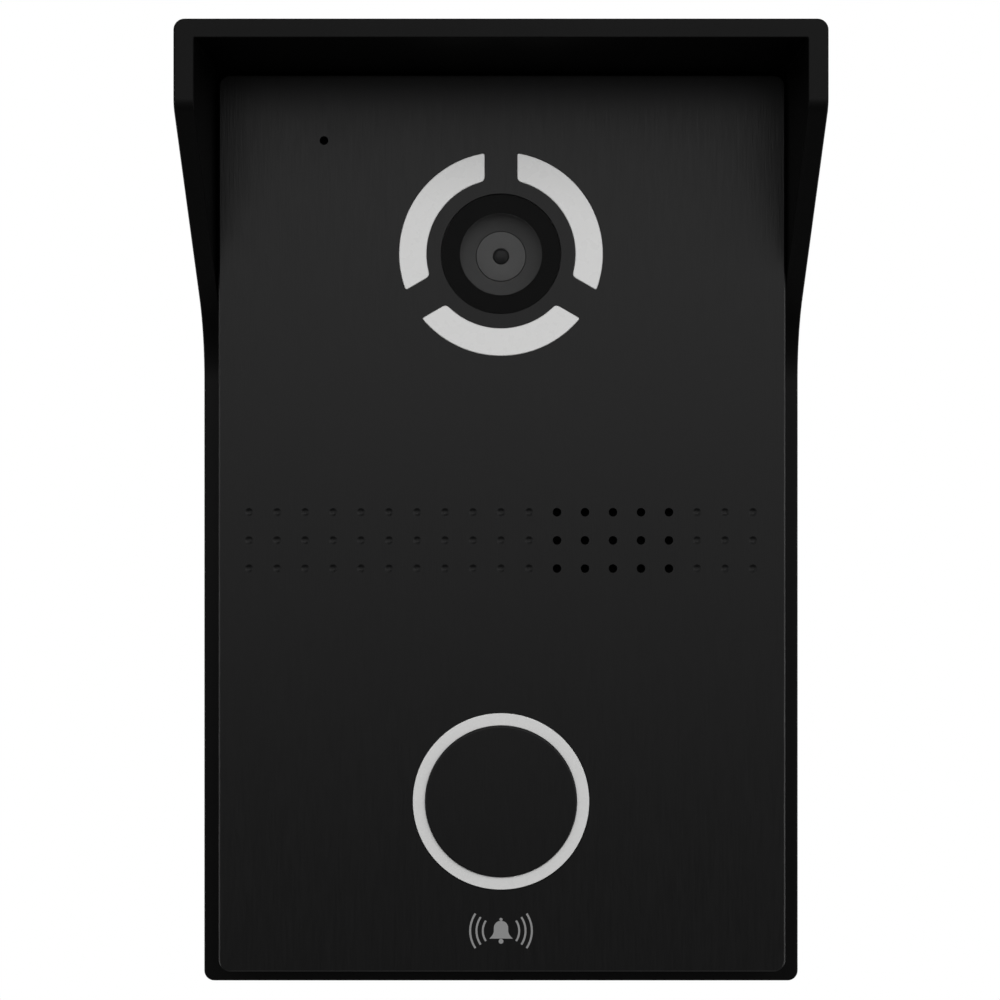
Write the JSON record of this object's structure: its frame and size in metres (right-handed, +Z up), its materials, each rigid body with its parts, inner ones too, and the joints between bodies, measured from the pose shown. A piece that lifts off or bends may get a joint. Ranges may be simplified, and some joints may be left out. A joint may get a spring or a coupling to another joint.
{
  "type": "video doorbell",
  "caption": "Wall-mounted video door station with a brushed black faceplate, camera with arc lights, round call button with a light ring, and a one-piece rain hood.",
  "frame": {"origin": "centre of the rain hood's flat back face, on the plane of the wall", "axes": "+Z up, +X to the viewer's right as the faceplate is faced, +Y into the wall; the faceplate looks along -Y"},
  "size_m": [0.1062, 0.0642, 0.1636],
  "materials": {
    "hood_finish": "satin black moulding",
    "black_anodised_aluminium": "vertical brushed grain, black anodised",
    "black_moulded_plastic": "fine spark-eroded texture",
    "dark_silicone": "matt",
    "white_diffuser": "opal, satin",
    "window_glass": "polished, black printed border on its back",
    "lens_black": "matt black",
    "lens_glass": "polished, coated",
    "circuit_board": "solder mask",
    "chip_black": "moulded",
    "led_lens": "clear over phosphor",
    "bright_steel": "zinc plated",
    "black_steel": "black oxide",
    "speaker_paper": "coated paper",
    "acoustic_foam": "open-cell foam",
    "terminal_green": "moulded",
    "flat_ribbon": "flat flexible cable"
  },
  "bodies": {
    "panel": {"hood_bracket": "hood_finish", "faceplate": "black_anodised_aluminium", "rear_housing": "black_moulded_plastic", "button_housing": "black_moulded_plastic", "cable_grommet": "dark_silicone", "faceplate_gasket": "dark_silicone", "camera_window_seal": "dark_silicone", "button_seal": "dark_silicone", "microphone_boot": "dark_silicone", "light_guide": "white_diffuser", "camera_window": "window_glass", "lens_shroud": "lens_black", "lens_barrel": "lens_black", "lens_holder": "lens_black", "lens_front_element": "lens_glass", "camera_board": "circuit_board", "light_board": "circuit_board", "button_board": "circuit_board", "main_board": "circuit_board", "image_sensor": "chip_black", "processor": "chip_black", "memory_chip": "chip_black", "network_transformer": "chip_black", "power_transformer": "chip_black", "light_led_1": "led_lens", "light_led_2": "led_lens", "light_led_3": "led_lens", "light_led_4": "led_lens", "light_led_5": "led_lens", "light_led_6": "led_lens", "button_led_1": "led_lens", "button_led_2": "led_lens", "button_led_3": "led_lens", "button_led_4": "led_lens", "speaker_magnet": "bright_steel", "microphone": "bright_steel", "housing_screw_1": "bright_steel", "housing_screw_2": "bright_steel", "housing_screw_3": "bright_steel", "housing_screw_4": "bright_steel", "board_screw_1": "bright_steel", "board_screw_2": "bright_steel", "board_screw_3": "bright_steel", "board_screw_4": "bright_steel", "security_screw": "black_steel", "speaker_frame": "black_steel", "switch_body": "black_steel", "capacitor": "black_steel", "speaker_cone": "speaker_paper", "acoustic_mesh": "acoustic_foam", "speaker_seal": "acoustic_foam", "terminal_block": "terminal_green", "relay": "terminal_green", "camera_ribbon": "flat_ribbon", "button_ribbon": "flat_ribbon"},
    "call_button": {"button_cap": "black_anodised_aluminium", "button_light_ring": "white_diffuser", "button_carrier": "black_moulded_plastic"},
    "switch_plunger": {"switch_plunger": "chip_black"}
  },
  "joints": [
    {"name": "call_press", "type": "slide", "parent": "panel", "child": "call_button", "axis": [0, 1, 0], "range_m": [0, 0.0006], "stiffness_N_per_m": 1500, "springref_m": -0.001},
    {"name": "switch_press", "type": "slide", "parent": "panel", "child": "switch_plunger", "axis": [0, 1, 0], "range_m": [0, 0.0006]}
  ],
  "couplings": [
    {"joint": "switch_press", "follows": "call_press", "ratio": 1}
  ]
}
